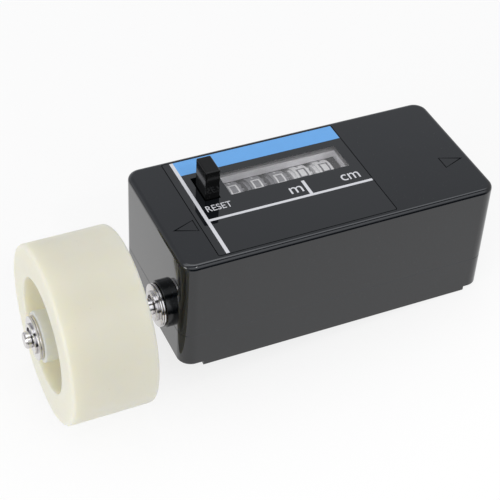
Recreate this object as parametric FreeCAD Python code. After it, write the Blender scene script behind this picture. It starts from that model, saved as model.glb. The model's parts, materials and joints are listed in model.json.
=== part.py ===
"""Fabric measuring meter: a case with a five-figure length counter, driven by a soft measuring wheel.

The sizes are millimetres. The pieces are drawn level, with X along the case away from the measuring
wheel, Y from the front to the back and Z up from the underside. At the end the whole meter is tipped
onto the surface that it rests on, because the wheel reaches lower than the case.
"""
import FreeCAD, Part
import math
import os

from FreeCAD import Placement, Rotation, Vector

# Case
case_length = 120.7
case_width = 56.7
corner_radius = 5.2
top_edge_radius = 1.8
join_overlap = 0.5
side_wall = 2.2
top_wall = 3.2
floor_wall = 2.2
parting_height = 15.4
parting_bevel = 0.25

# Base plate under the case
base_thickness = 2.0
base_left_inset = 8.0
base_right_inset = 7.0
base_edge_radius = 0.6

# Case screws
screw_left_inset = 13.0
screw_right_inset = 11.4
screw_side_inset = 5.6
screw_post_radius = 2.8
screw_shank_radius = 1.25
screw_head_radius = 2.3
screw_head_height = 1.2
screw_head_depth = 0.4
screw_length = 26.0
screw_slot_width = 0.6
screw_slot_depth = 0.6
screw_clearance = 0.08
screw_end_room = 0.3

# Label plate and its window
label_thickness = 2.0
label_left = 13.4
label_right_border = 4.6
label_front = 2.3
label_back_margin = 1.8
label_gap = 0.3
label_corner_radius = 0.5
window_left_margin = 3.9
window_right_margin = 6.5
window_front = 30.6
window_back = 42.9
bezel_wall = 1.0
bezel_gap = 0.1
bezel_wheel_gap = 0.3

# Arrows moulded into the top, one each side of the label
arrow_length = 8.6
arrow_half_width = 3.1
arrow_depth = 0.4
arrow_line = 0.35
arrow_y = 19.8
arrow_left_tip = 3.9
arrow_right_tip_inset = 3.1

# Measuring wheel
wheel_circumference = 200.0
wheel_width = 30.6
wheel_gap = 14.6
wheel_rim_round = 1.2
wheel_recess_radius = 20.4
wheel_recess_depth = 11.0
wheel_recess_round = 1.5
wheel_lip_round = 0.4
wheel_boss_radius = 9.0
wheel_boss_proud = 1.5
sleeve_wall = 1.5
pin_end_room = 0.4

# Main shaft
shaft_y = 15.45
shaft_z = 19.75
shaft_radius = 3.0
shaft_end_length = 2.3
shaft_tip_bevel = 0.5
running_clearance = 0.04
seat_clearance = 0.02

# Washers and retaining rings on the main shaft
washer_radius = 7.8
washer_thickness = 0.8
washer_gap = 0.06
washer_edge_round = 0.2
ring_radius = 5.4
ring_thickness = 0.7
ring_rim = 1.3
ring_mouth = 4.6
ring_prong = 1.6
ring_prong_turn = 100.0
ring_groove_depth = 0.5
ring_side_gap = 0.05

# Bushes that carry the main shaft
bush_flange_radius = 8.5
bush_flange_thickness = 2.8
bush_body_radius = 6.0
bush_inner_length = 8.0
bush_edge_round = 0.4
bearing_radius = 5.0
bearing_flange_radius = 6.4
bearing_flange_thickness = 1.0
bearing_inner_length = 2.4

# Counter frame, bent from sheet steel
frame_sheet = 1.2
frame_foot = 1.2
frame_front = 8.9
frame_back_gap = 1.8
frame_over_counter = 6.1
frame_left = 19.1
frame_gear_room = 3.9
frame_corner_radius = 4.0
frame_screw_inset_x = 9.0
frame_screw_inset_y = 5.0
frame_screw_radius = 1.25
frame_screw_length = 4.0
frame_screw_head_radius = 2.4
frame_screw_head_height = 1.3
frame_boss_radius = 3.2
shaft_hole_clearance = 0.6
frame_front_margin = 2.0
frame_step_setback = 4.0
frame_back_slope = 6.0

# Counter wheels
figure_radius = 11.0
figure_band = 5.4
figure_pitch = 9.0
figure_count = 5
figure_depth = 3.3
counter_y = 36.7
counter_rise = 13.55
counter_shaft_radius = 1.5
wheel_end_gap = 0.2
left_spacer_length = 2.9
carry_thickness = 1.2
carry_module = 0.95
carry_ring_teeth = 20
carry_disc_radius = 10.2
carry_notch_width = 4.4
carry_tooth_width = 0.9
cam_thickness = 1.0
cam_small_radius = 2.6
cam_large_radius = 5.4
cam_large_offset = 1.0
cam_valley_half_width = 0.6

# Carry pinions
pinion_teeth = 8
pinion_hub_radius = 1.9
pinion_shaft_radius = 1.1
pinion_drive_gap = 0.3
pinion_side_gap = 0.15

# Drive gears
gear_train_slack = 1.119
drive_teeth = 36
idler_teeth = 20
counter_teeth = 18
gear_width = 3.0
gear_wide_extra = 0.4
gear_offset = 4.1
gear_hub_radius = 5.0
gear_hub_length = 4.0
idler_hub_length = 1.2
idler_pin_radius = 1.5
idler_hub_wall = 1.2
idler_side_gap = 0.15
idler_head_rim = 1.0
idler_head_thickness = 1.0
idler_rivet_rim = 0.8
idler_rivet_height = 0.6
counter_gear_hub_wall = 1.6
counter_gear_hub_end = 1.0
gear_pin_radius = 0.8
gear_backlash = 0.12
carry_backlash = 0.3
addendum = 0.9
dedendum = 1.2
carry_addendum = 0.7
pressure_angle = 20.0

# Reset lever, which turns on the counter shaft
lever_frame_gap = 0.3
lever_width = 5.4
lever_front = 30.8
lever_depth = 9.2
lever_reach = 12.0
lever_edge_round = 0.5
lever_hub_radius = 4.2
lever_hub_setback = 2.0
lever_neck_depth = 6.0
lever_swing = 14.0
lever_slot_gap = 0.35
lever_tail_y = 8.5
lever_tail_z = -4.8
lever_tail_radius = 1.5

# Reset comb, which turns on its own rod behind the counter wheels
comb_back_gap = 3.8
comb_drop = 13.0
comb_rod_radius = 1.2
comb_tube_radius = 2.2
comb_swing_ratio = 0.857
comb_finger_thickness = 0.7
comb_finger_width = 2.4
comb_tip_radius_from_axis = 8.6
comb_tip_bearing = -10.0
comb_arm_radius = 1.2
comb_arm_gap = 1.0
comb_arm_lean = 1.7

# Return spring of the reset lever
spring_wire_radius = 0.25
spring_coil_radius = 2.3
spring_turns = 2.0
spring_pitch = 0.62
spring_side_gap = 0.15

# Clips on the three small shafts
clip_thickness = 0.5
clip_gap = 0.2
clip_rim = 1.3
clip_groove_depth = 0.3
clip_mouth_share = 0.8
rod_end = 1.0
spacer_wall = 1.2

# Sizes that follow from those above
wheel_radius = wheel_circumference / (2 * math.pi)
wheel_inner_x = -wheel_gap
wheel_outer_x = -wheel_gap - wheel_width
sleeve_radius = shaft_radius + sleeve_wall
case_floor = base_thickness + floor_wall
counter_z = shaft_z + counter_rise
case_height = counter_z + figure_radius + figure_depth
ceiling = case_height - top_wall
label_back = case_width - label_back_margin
pocket_floor = case_height - label_thickness
frame_base = case_floor + frame_foot
frame_height = counter_z + frame_over_counter
frame_back = case_width - side_wall - frame_back_gap
lever_left = frame_left + frame_sheet + lever_frame_gap
lever_right = lever_left + lever_width
last_wheel_left = lever_right + left_spacer_length + 2 * wheel_end_gap
last_wheel_x = last_wheel_left + cam_thickness + carry_thickness + figure_band / 2
units_x = last_wheel_x + (figure_count - 1) * figure_pitch
window_left = last_wheel_x - window_left_margin
window_right = units_x + window_right_margin
label_right = window_right + label_right_border
comb_y = case_width - side_wall - comb_back_gap
comb_z = counter_z - comb_drop
carry_ring_radius = carry_module * carry_ring_teeth / 2
pinion_radius = carry_module * pinion_teeth / 2
pinion_distance = carry_ring_radius + pinion_radius
gear_left = units_x + gear_offset
gear_right = gear_left + gear_width
frame_right = gear_right + frame_gear_room
gear_train_teeth = drive_teeth / 2 + idler_teeth + counter_teeth / 2
gear_module = gear_train_slack * math.hypot(counter_y - shaft_y, counter_rise) / gear_train_teeth
drive_radius = gear_module * drive_teeth / 2
idler_radius = gear_module * idler_teeth / 2
counter_gear_radius = gear_module * counter_teeth / 2
lever_hub_left = lever_left + lever_hub_setback
spring_left = frame_left + frame_sheet + spring_side_gap + spring_wire_radius


# Plain shapes
def block(x0, x1, y0, y1, z0, z1):
    return Part.makeBox(x1 - x0, y1 - y0, z1 - z0, Vector(x0, y0, z0))


def rod(radius, x0, x1, y, z):
    return Part.makeCylinder(radius, x1 - x0, Vector(x0, y, z), Vector(1, 0, 0))


def tube(outer, inner, x0, x1, y, z):
    return rod(outer, x0, x1, y, z).cut(rod(inner, x0, x1, y, z))


def post(radius, x, y, z0, z1):
    return Part.makeCylinder(radius, z1 - z0, Vector(x, y, z0))


def rounded_prism(x0, x1, y0, y1, z0, z1, radius):
    """An upright prism whose four upright edges are rounded."""
    body = block(x0, x1, y0, y1, z0, z1)
    return body.makeFillet(radius, [edge for edge in body.Edges if runs_along(edge, Vector(0, 0, 1))])


def runs_along(edge, direction):
    if not isinstance(edge.Curve, Part.Line):
        return False
    return edge.tangentAt(edge.FirstParameter).cross(direction).Length < 1e-6


def edges_at_height(shape, z):
    box = [(edge, edge.BoundBox) for edge in shape.Edges]
    return [edge for edge, limits in box if abs(limits.ZMin - z) < 1e-4 and abs(limits.ZMax - z) < 1e-4]


def edges_at_x(shape, x, radius):
    """The round edges of one radius that lie in the plane across X."""
    return [edge for edge in shape.Edges
            if isinstance(edge.Curve, Part.Circle)
            and abs(edge.Curve.Center.x - x) < 1e-4
            and abs(edge.Curve.Radius - radius) < 1e-4]


def bar_across(x0, x1, start, end, radius):
    """A flat bar with round ends, drawn across X between two points given as (y, z)."""
    run = Vector(0, end[0] - start[0], end[1] - start[1])
    side = Vector(0, -run.z, run.y)
    side.normalize()
    side.multiply(radius)
    first = Vector(x0, start[0], start[1])
    last = Vector(x0, end[0], end[1])
    outline = Part.makePolygon([first + side, last + side, last - side, first - side, first + side])
    bar = Part.Face(outline).extrude(Vector(x1 - x0, 0, 0))
    ends = [rod(radius, x0, x1, start[0], start[1]), rod(radius, x0, x1, end[0], end[1])]
    return bar.fuse(ends).removeSplitter()


def revolve_profile(points, y, z):
    """A solid turned about the X line through (y, z) from points given as (x, radius)."""
    outline = Part.makePolygon([Vector(x, y, z + radius) for x, radius in points + points[:1]])
    return Part.Face(outline).revolve(Vector(0, y, z), Vector(1, 0, 0), 360)


# Gear teeth
def involute(angle):
    return math.tan(angle) - angle


def polar(radius, angle, y, z, x):
    return Vector(x, y + radius * math.cos(angle), z + radius * math.sin(angle))


def gear_disc(teeth, module, head, backlash, x0, x1, y, z, phase):
    """A spur gear with involute flanks, with a tooth on the bearing phase, in degrees."""
    pitch_radius = module * teeth / 2
    base_radius = pitch_radius * math.cos(math.radians(pressure_angle))
    tip_radius = pitch_radius + head * module
    root_radius = pitch_radius - dedendum * module
    low_radius = max(base_radius, root_radius)
    half_tooth = math.pi / (2 * teeth) - backlash / (2 * pitch_radius)

    def half_angle(radius):
        lean = math.acos(min(1.0, base_radius / radius))
        return half_tooth + involute(math.radians(pressure_angle)) - involute(lean)

    edges = []
    flank_radii = [low_radius + (tip_radius - low_radius) * step / 4 for step in range(5)]
    step_angle = 2 * math.pi / teeth
    for tooth in range(teeth):
        middle = math.radians(phase) + tooth * step_angle
        rising = [polar(r, middle - half_angle(r), y, z, x0) for r in flank_radii]
        falling = [polar(r, middle + half_angle(r), y, z, x0) for r in reversed(flank_radii)]
        root_start = polar(root_radius, middle - half_angle(low_radius), y, z, x0)
        root_end = polar(root_radius, middle + half_angle(low_radius), y, z, x0)
        next_start = polar(root_radius, middle + step_angle - half_angle(low_radius), y, z, x0)
        if low_radius > root_radius:
            edges.append(Part.LineSegment(root_start, rising[0]).toShape())
        edges.append(flank(rising))
        edges.append(Part.Arc(rising[-1], polar(tip_radius, middle, y, z, x0), falling[0]).toShape())
        edges.append(flank(falling))
        if low_radius > root_radius:
            edges.append(Part.LineSegment(falling[-1], root_end).toShape())
        between = polar(root_radius, middle + step_angle / 2, y, z, x0)
        edges.append(Part.Arc(root_end, between, next_start).toShape())
    return Part.Face(Part.Wire(edges)).extrude(Vector(x1 - x0, 0, 0))


def flank(points):
    curve = Part.BSplineCurve()
    curve.interpolate(points)
    return curve.toShape()


def bearing_between(first, second):
    """The direction from one axis to another, in degrees from the back towards up."""
    return math.degrees(math.atan2(second[1] - first[1], second[0] - first[0]))


def meshed_phase(phase, teeth, next_teeth, bearing):
    """Where a gear has its first tooth so that it meshes with one whose phase is known."""
    return bearing + 180 + 180 / next_teeth + (bearing - phase) * teeth / next_teeth


def crossing(first, first_radius, second, second_radius):
    """Where two circles cross, on the right of the way from the first centre to the second."""
    span = math.dist(first, second)
    run_y = (second[0] - first[0]) / span
    run_z = (second[1] - first[1]) / span
    along = (first_radius ** 2 - second_radius ** 2 + span ** 2) / (2 * span)
    aside = math.sqrt(first_radius ** 2 - along ** 2)
    return (first[0] + along * run_y + aside * run_z, first[1] + along * run_z - aside * run_y)


def idler_place():
    """The idler's axis, below the line from the main shaft to the counter shaft."""
    return crossing((shaft_y, shaft_z), drive_radius + idler_radius,
                    (counter_y, counter_z), idler_radius + counter_gear_radius)


def pinion_place():
    """The pinion shaft's axis, in mesh with the figure wheels and clear of the drive gear."""
    drive_tip = drive_radius + addendum * gear_module
    return crossing((counter_y, counter_z), pinion_distance,
                    (shaft_y, shaft_z), drive_tip + pinion_shaft_radius + pinion_drive_gap)


pinion_y, pinion_z = pinion_place()
pinion_bearing = bearing_between((counter_y, counter_z), (pinion_y, pinion_z))


# Case, its base plate and its screws
def screw_places():
    right = case_length - screw_right_inset
    back = case_width - screw_side_inset
    return [(x, y) for x in (screw_left_inset, right) for y in (screw_side_inset, back)]


def frame_screw_places():
    left = frame_left + frame_screw_inset_x
    right = frame_right + frame_sheet - frame_screw_inset_x
    front = frame_front + frame_screw_inset_y
    back = frame_back - frame_screw_inset_y
    return [(x, y) for x in (left, right) for y in (front, back)]


def bush_hole():
    return rod(bush_body_radius + seat_clearance, -1, side_wall + 1, shaft_y, shaft_z)


def case_top():
    """The upper shell, with the label's pocket, the counter's opening and four screw posts."""
    shell = rounded_prism(0, case_length, 0, case_width, parting_height, case_height, corner_radius)
    shell = shell.makeFillet(top_edge_radius, edges_at_height(shell, case_height))
    hollow = rounded_prism(side_wall, case_length - side_wall, side_wall, case_width - side_wall,
                           parting_height - 1, ceiling, corner_radius - side_wall)
    shell = shell.cut(hollow)
    top = ceiling + join_overlap
    posts = [post(screw_post_radius, x, y, parting_height, top) for x, y in screw_places()]
    shell = shell.fuse(posts)
    pocket = rounded_prism(label_left, label_right, label_front, label_back,
                           pocket_floor, case_height + 1, label_corner_radius + label_gap)
    counter_opening = block(window_left - bezel_wall - bezel_gap,
                            window_right + bezel_wall + bezel_gap,
                            window_front - bezel_wall - bezel_gap,
                            window_back + bezel_wall + bezel_gap, ceiling - 1, pocket_floor + 1)
    screw_holes = [post(screw_shank_radius + screw_clearance, x, y, parting_height - 1,
                        screw_head_depth + screw_length + 1) for x, y in screw_places()]
    cuts = [pocket, counter_opening, bush_hole(), lever_slot(0)] + screw_holes + arrow_grooves()
    return shell.cut(cuts).removeSplitter()


def lever_slot(margin):
    """The slot that the reset lever stands in, long enough at the back for its swing."""
    reach = case_height - counter_z
    grip_back = lever_front + lever_depth - counter_y
    swing = math.radians(lever_swing)
    back = counter_y + grip_back / math.cos(swing) + reach * math.tan(swing)
    return block(lever_left - lever_slot_gap - margin, lever_right + lever_slot_gap + margin,
                 lever_front - lever_slot_gap - margin, back + lever_slot_gap + margin,
                 ceiling - 1, case_height + 1)


def arrow_grooves():
    """The outlines of two arrowheads that point along the case, one each way."""
    right_tip = case_length - arrow_right_tip_inset
    return [arrow_groove(arrow_left_tip, arrow_left_tip + arrow_length),
            arrow_groove(right_tip, right_tip - arrow_length)]


def arrow_groove(tip_x, base_x):
    def outline(grow):
        direction = math.copysign(1, tip_x - base_x)
        stretch = 1 + arrow_length / arrow_half_width
        tip = Vector(tip_x + direction * grow * stretch, arrow_y, case_height - arrow_depth)
        front = Vector(base_x - direction * grow, arrow_y - arrow_half_width - grow, tip.z)
        back = Vector(base_x - direction * grow, arrow_y + arrow_half_width + grow, tip.z)
        wire = Part.makePolygon([tip, front, back, tip])
        return Part.Face(wire).extrude(Vector(0, 0, arrow_depth + 1))

    return outline(0).cut(outline(-arrow_line))


def case_bottom():
    """The lower shell, a tray that carries the counter frame on four bosses."""
    tray = rounded_prism(0, case_length, 0, case_width, base_thickness, parting_height, corner_radius)
    tray = tray.makeChamfer(parting_bevel, edges_at_height(tray, parting_height))
    hollow = rounded_prism(side_wall, case_length - side_wall, side_wall, case_width - side_wall,
                           case_floor, parting_height + 1, corner_radius - side_wall)
    tray = tray.cut(hollow)
    root = case_floor - join_overlap
    posts = [post(screw_post_radius, x, y, root, parting_height) for x, y in screw_places()]
    bosses = [post(frame_boss_radius, x, y, root, frame_base) for x, y in frame_screw_places()]
    tray = tray.fuse(posts + bosses)
    screw_holes = [post(screw_shank_radius + screw_clearance, x, y, base_thickness - 1, parting_height + 1)
                   for x, y in screw_places()]
    frame_holes = [post(frame_screw_radius + screw_clearance, x, y,
                        frame_base + frame_sheet - frame_screw_length - screw_end_room, frame_base + 1)
                   for x, y in frame_screw_places()]
    return tray.cut([bush_hole()] + screw_holes + frame_holes).removeSplitter()


def base_plate():
    """The plate under the case, level with its front and back and shorter than it at both ends."""
    left = base_left_inset
    right = case_length - base_right_inset
    plate = block(left, right, 0, case_width, 0, base_thickness)
    plate = plate.makeFillet(base_edge_radius, edges_at_height(plate, 0))
    for x, y in screw_places():
        head = post(screw_head_radius + screw_clearance, x, y, -1, screw_head_depth + screw_head_height)
        shank = post(screw_shank_radius + screw_clearance, x, y, -1, base_thickness + 1)
        plate = plate.cut([head, shank])
    return plate


def slotted_screw(x, y, head_z, direction, head_radius, head_height, shank_radius, length):
    """A cheese-head screw whose head faces the other way from its shank."""
    head = Part.makeCylinder(head_radius, head_height, Vector(x, y, head_z), Vector(0, 0, direction))
    shank = Part.makeCylinder(shank_radius, length, Vector(x, y, head_z), Vector(0, 0, direction))
    low = min(head_z, head_z + direction * screw_slot_depth)
    slot = block(x - head_radius - 1, x + head_radius + 1, y - screw_slot_width / 2,
                 y + screw_slot_width / 2, low, low + screw_slot_depth)
    return head.fuse(shank).removeSplitter().cut(slot)


def case_screws():
    return Part.makeCompound([
        slotted_screw(x, y, screw_head_depth, 1, screw_head_radius, screw_head_height,
                      screw_shank_radius, screw_length)
        for x, y in screw_places()])


# Label plate and window bezel
def label_plate():
    """The clear plate that lies in the pocket, with a slot for the reset lever."""
    plate = rounded_prism(label_left + label_gap, label_right - label_gap, label_front + label_gap,
                          label_back - label_gap, pocket_floor, case_height, label_corner_radius)
    return plate.cut(lever_slot(0))


def window_bezel():
    """The grey frame that lines the counter's opening below the label plate."""
    left = window_left - bezel_wall
    right = window_right + bezel_wall
    front = window_front - bezel_wall
    back = window_back + bezel_wall
    low = counter_z + math.sqrt(figure_radius ** 2 - (window_back - counter_y) ** 2) + bezel_wheel_gap
    frame = block(left, right, front, back, low, pocket_floor)
    inside = block(left + bezel_wall, window_right, window_front, window_back, low - 1, pocket_floor + 1)
    return frame.cut(inside)


# Measuring wheel and what holds it
def measuring_wheel():
    """The soft wheel: a tread, a web and a boss in one moulding, hollowed from both sides."""
    web_half = wheel_width / 2 - wheel_recess_depth
    middle = (wheel_outer_x + wheel_inner_x) / 2
    boss_outer = wheel_outer_x - wheel_boss_proud
    boss_inner = wheel_inner_x + wheel_boss_proud
    profile = [
        (boss_outer, sleeve_radius), (boss_outer, wheel_boss_radius),
        (middle - web_half, wheel_boss_radius), (middle - web_half, wheel_recess_radius),
        (wheel_outer_x, wheel_recess_radius), (wheel_outer_x, wheel_radius),
        (wheel_inner_x, wheel_radius), (wheel_inner_x, wheel_recess_radius),
        (middle + web_half, wheel_recess_radius), (middle + web_half, wheel_boss_radius),
        (boss_inner, wheel_boss_radius), (boss_inner, sleeve_radius)]
    wheel = revolve_profile(profile, shaft_y, shaft_z)
    rims = []
    for x in (wheel_outer_x, wheel_inner_x):
        rims += edges_at_x(wheel, x, wheel_radius)
    wheel = wheel.makeFillet(wheel_rim_round, rims)
    corners = []
    for x in (middle - web_half, middle + web_half):
        corners += edges_at_x(wheel, x, wheel_recess_radius) + edges_at_x(wheel, x, wheel_boss_radius)
    wheel = wheel.makeFillet(wheel_recess_round, corners)
    lips = []
    for x in (wheel_outer_x, wheel_inner_x):
        lips += edges_at_x(wheel, x, wheel_recess_radius)
    for x in (boss_outer, boss_inner):
        lips += edges_at_x(wheel, x, wheel_boss_radius)
    wheel = wheel.makeFillet(wheel_lip_round, lips)
    return wheel.cut(cross_hole(middle, sleeve_radius + pin_end_room))


def cross_hole(x, half_length):
    return Part.makeCylinder(gear_pin_radius + seat_clearance, 2 * half_length,
                             Vector(x, shaft_y, shaft_z - half_length), Vector(0, 0, 1))


def cross_pin(x, half_length):
    return Part.makeCylinder(gear_pin_radius, 2 * half_length,
                             Vector(x, shaft_y, shaft_z - half_length), Vector(0, 0, 1))


def wheel_sleeve():
    """The steel sleeve that is moulded into the wheel's boss."""
    sleeve = tube(sleeve_radius, shaft_radius + seat_clearance, wheel_outer_x - wheel_boss_proud,
                  wheel_inner_x + wheel_boss_proud, shaft_y, shaft_z)
    return sleeve.cut(cross_hole((wheel_outer_x + wheel_inner_x) / 2, sleeve_radius + 1))


def wheel_pin():
    return cross_pin((wheel_outer_x + wheel_inner_x) / 2, sleeve_radius)


def washer_pair_length():
    return 2 * washer_thickness + washer_gap


def shaft_left_end():
    return ring_lefts()[0] - shaft_end_length


def shaft_right_end():
    return ring_lefts()[-1] + ring_thickness + rod_end


def ring_lefts():
    """The left faces of the four retaining rings on the main shaft."""
    ring_and_washers = ring_thickness + ring_side_gap + washer_pair_length() + washer_gap
    outer = wheel_outer_x - wheel_boss_proud - ring_and_washers
    inner = wheel_inner_x + wheel_boss_proud + ring_side_gap
    at_bush = -bush_flange_thickness - washer_gap - ring_and_washers
    at_bearing = frame_right + frame_sheet + bearing_flange_thickness + 2 * ring_side_gap
    return [outer, inner, at_bush, at_bearing]


def main_shaft():
    """The steel shaft that carries the wheel outside the case and the drive gear inside it."""
    left = shaft_left_end()
    right = shaft_right_end()
    shaft = rod(shaft_radius, left, right, shaft_y, shaft_z)
    tips = edges_at_x(shaft, left, shaft_radius) + edges_at_x(shaft, right, shaft_radius)
    shaft = shaft.makeChamfer(shaft_tip_bevel, tips)
    grooves = [tube(shaft_radius + 1, shaft_radius - ring_groove_depth, at - ring_side_gap / 2,
                    at + ring_thickness + ring_side_gap / 2, shaft_y, shaft_z) for at in ring_lefts()]
    holes = [cross_hole((wheel_outer_x + wheel_inner_x) / 2, shaft_radius + 1),
             cross_hole(drive_pin_x(), shaft_radius + 1)]
    return shaft.cut(grooves + holes)


def washer(left):
    right = left + washer_thickness
    disc = tube(washer_radius, shaft_radius + running_clearance, left, right, shaft_y, shaft_z)
    outer = edges_at_x(disc, left, washer_radius) + edges_at_x(disc, right, washer_radius)
    return disc.makeFillet(washer_edge_round, outer)


def washer_pair(left):
    return Part.makeCompound([washer(left), washer(left + washer_thickness + washer_gap)])


def wheel_washers():
    return washer_pair(ring_lefts()[0] + ring_thickness + ring_side_gap)


def bush_washers():
    return washer_pair(ring_lefts()[2] + ring_thickness + ring_side_gap)


def retaining_ring(left):
    """A snap ring with an open mouth and three prongs that sit in the shaft's groove."""
    right = left + ring_thickness
    seat = shaft_radius - ring_groove_depth + seat_clearance
    rim = tube(ring_radius, ring_radius - ring_rim, left, right, shaft_y, shaft_z)
    prong = block(left, right, shaft_y - ring_prong / 2, shaft_y + ring_prong / 2,
                  shaft_z, shaft_z + ring_radius - ring_rim / 2)
    prongs = [prong.rotated(Vector(0, shaft_y, shaft_z), Vector(1, 0, 0), turn)
              for turn in (0, ring_prong_turn, -ring_prong_turn)]
    ring = rim.fuse(prongs).removeSplitter()
    mouth = block(left - 1, right + 1, shaft_y - ring_mouth / 2, shaft_y + ring_mouth / 2,
                  shaft_z - ring_radius - 1, shaft_z)
    return ring.cut([rod(seat, left - 1, right + 1, shaft_y, shaft_z), mouth])


def shaft_rings():
    return Part.makeCompound([retaining_ring(left) for left in ring_lefts()])


# Bearings of the main shaft
def shaft_bush():
    """The flanged bush in the end wall, where the shaft leaves the case."""
    bore = shaft_radius + running_clearance
    flange = tube(bush_flange_radius, bore, -bush_flange_thickness, 0, shaft_y, shaft_z)
    rim = edges_at_x(flange, -bush_flange_thickness, bush_flange_radius)
    flange = flange.makeFillet(bush_edge_round, rim)
    body = tube(bush_body_radius, bore, 0, bush_inner_length, shaft_y, shaft_z)
    return flange.fuse(body).removeSplitter()


def inner_bearing():
    """The bronze bearing in the counter frame's right side."""
    bore = shaft_radius + running_clearance
    right = frame_right + frame_sheet
    flange = tube(bearing_flange_radius, bore, right, right + bearing_flange_thickness, shaft_y, shaft_z)
    body = tube(bearing_radius - seat_clearance, bore, frame_right - bearing_inner_length, right,
                shaft_y, shaft_z)
    return flange.fuse(body).removeSplitter()


# Counter frame
def counter_frame():
    """A sheet-steel cradle: a foot on the lower shell and two sides that carry the shafts."""
    foot = block(frame_left, frame_right + frame_sheet, frame_front, frame_back,
                 frame_base, frame_base + frame_sheet)
    sides = [frame_side(frame_left), frame_side(frame_right)]
    frame = foot.fuse(sides).removeSplitter()
    idler_y, idler_z = idler_place()
    start = frame_left - 1
    end = frame_right + frame_sheet + 1
    through_both = [
        rod(counter_shaft_radius + seat_clearance, start, end, counter_y, counter_z),
        rod(pinion_shaft_radius + seat_clearance, start, end, pinion_y, pinion_z),
        rod(comb_rod_radius + seat_clearance, start, end, comb_y, comb_z)]
    right_only = [
        rod(idler_pin_radius + seat_clearance, frame_right - 1, end, idler_y, idler_z),
        rod(bearing_radius, frame_right - 1, end, shaft_y, shaft_z)]
    left_only = [rod(shaft_radius + shaft_hole_clearance, start, frame_left + frame_sheet + 1,
                     shaft_y, shaft_z)]
    screws = [post(frame_screw_radius + screw_clearance, x, y, frame_base - 1, frame_base + frame_sheet + 1)
              for x, y in frame_screw_places()]
    return frame.cut(through_both + right_only + left_only + screws)


def frame_side(left):
    """One upright side, high behind where the counter is and low in front where the main shaft is."""
    front_height = shaft_z + bearing_flange_radius + frame_front_margin
    step_y = pinion_y - frame_step_setback
    outline = Part.makePolygon([
        Vector(left, frame_front, frame_base), Vector(left, frame_front, front_height),
        Vector(left, step_y, frame_height), Vector(left, frame_back - frame_back_slope, frame_height),
        Vector(left, frame_back, comb_z + frame_back_slope), Vector(left, frame_back, frame_base),
        Vector(left, frame_front, frame_base)])
    side = Part.Face(outline).extrude(Vector(frame_sheet, 0, 0))
    upper = [edge for edge in side.Edges if runs_along(edge, Vector(1, 0, 0))
             and edge.BoundBox.ZMin > frame_base + 1]
    return side.makeFillet(frame_corner_radius, upper)


def frame_screws():
    return Part.makeCompound([
        slotted_screw(x, y, frame_base + frame_sheet + frame_screw_head_height, -1, frame_screw_head_radius,
                      frame_screw_head_height, frame_screw_radius,
                      frame_screw_head_height + frame_screw_length)
        for x, y in frame_screw_places()])


# The three small shafts, with a clip on each end
def small_shaft(radius, y, z):
    left = clip_lefts()[0] - rod_end
    right = clip_lefts()[1] + clip_thickness + rod_end
    shaft = rod(radius, left, right, y, z)
    grooves = [tube(radius + 1, radius - clip_groove_depth, at, at + clip_thickness, y, z)
               for at in clip_lefts()]
    return shaft.cut(grooves)


def clip_lefts():
    return [frame_left - clip_gap - clip_thickness, frame_right + frame_sheet + clip_gap]


def clip_pair(radius, y, z):
    """Two clips with an open mouth, in the grooves at a small shaft's ends."""
    inner = radius - clip_groove_depth + seat_clearance
    clips = []
    for left in clip_lefts():
        clip = tube(radius + clip_rim, inner, left, left + clip_thickness, y, z)
        half_mouth = inner * clip_mouth_share
        mouth = block(left - 1, left + clip_thickness + 1, y - half_mouth, y + half_mouth,
                      z - radius - clip_rim - 1, z)
        clips.append(clip.cut(mouth))
    return Part.makeCompound(clips)


def counter_shaft():
    return small_shaft(counter_shaft_radius, counter_y, counter_z)


def pinion_shaft():
    return small_shaft(pinion_shaft_radius, pinion_y, pinion_z)


def comb_rod():
    return small_shaft(comb_rod_radius, comb_y, comb_z)


# Counter wheels and what carries from one to the next
def figure_x(place):
    """The middle of the figures on one wheel, counted from the units at the right."""
    return units_x - place * figure_pitch


def carry_ring_phase():
    return pinion_bearing


def figure_wheel(place):
    """One wheel: a band for ten figures, a toothed ring that drives it, a carry disc and a cam."""
    x = figure_x(place)
    left = x - figure_band / 2
    right = x + figure_band / 2
    bore = rod(counter_shaft_radius + running_clearance, left - figure_pitch, right + figure_pitch,
               counter_y, counter_z)
    wheel = rod(figure_radius, left, right, counter_y, counter_z)
    cam_right = left - carry_thickness
    cam = heart_cam(cam_right - cam_thickness, cam_right)
    pieces = [carry_disc(left - carry_thickness, left), cam]
    if place > 0:
        pieces.append(gear_disc(carry_ring_teeth, carry_module, carry_addendum, carry_backlash,
                                right, right + carry_thickness, counter_y, counter_z, carry_ring_phase()))
    return wheel.fuse(pieces).cut(bore)


def carry_disc(left, right):
    """The disc beside the figures, notched round the two teeth that move the next wheel."""
    disc = rod(carry_disc_radius, left, right, counter_y, counter_z)
    root = carry_ring_radius - dedendum * carry_module
    notch = block(left - 1, right + 1, counter_y - carry_notch_width / 2, counter_y + carry_notch_width / 2,
                  counter_z + root, counter_z + carry_disc_radius + 1)
    teeth = []
    offset = carry_notch_width / 4
    for side in (-offset, offset):
        teeth.append(block(left, right, counter_y + side - carry_tooth_width / 2,
                           counter_y + side + carry_tooth_width / 2, counter_z + root - join_overlap,
                           counter_z + carry_ring_radius + carry_addendum * carry_module / 2))
    return disc.cut(notch).fuse(teeth).removeSplitter().rotated(
        Vector(0, counter_y, counter_z), Vector(1, 0, 0), 90)


def heart_cam(left, right):
    """The cam that a comb finger pushes round until the wheel shows nought."""
    small = rod(cam_small_radius, left, right, counter_y, counter_z)
    offset = cam_large_offset
    large_radius = cam_large_radius - offset
    lobe = rod(large_radius, left, right, counter_y - offset, counter_z)
    valley = block(left - 1, right + 1, counter_y + cam_small_radius, counter_y + cam_large_radius + 1,
                   counter_z - cam_valley_half_width, counter_z + cam_valley_half_width)
    return small.fuse(lobe).removeSplitter().cut(valley)


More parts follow.
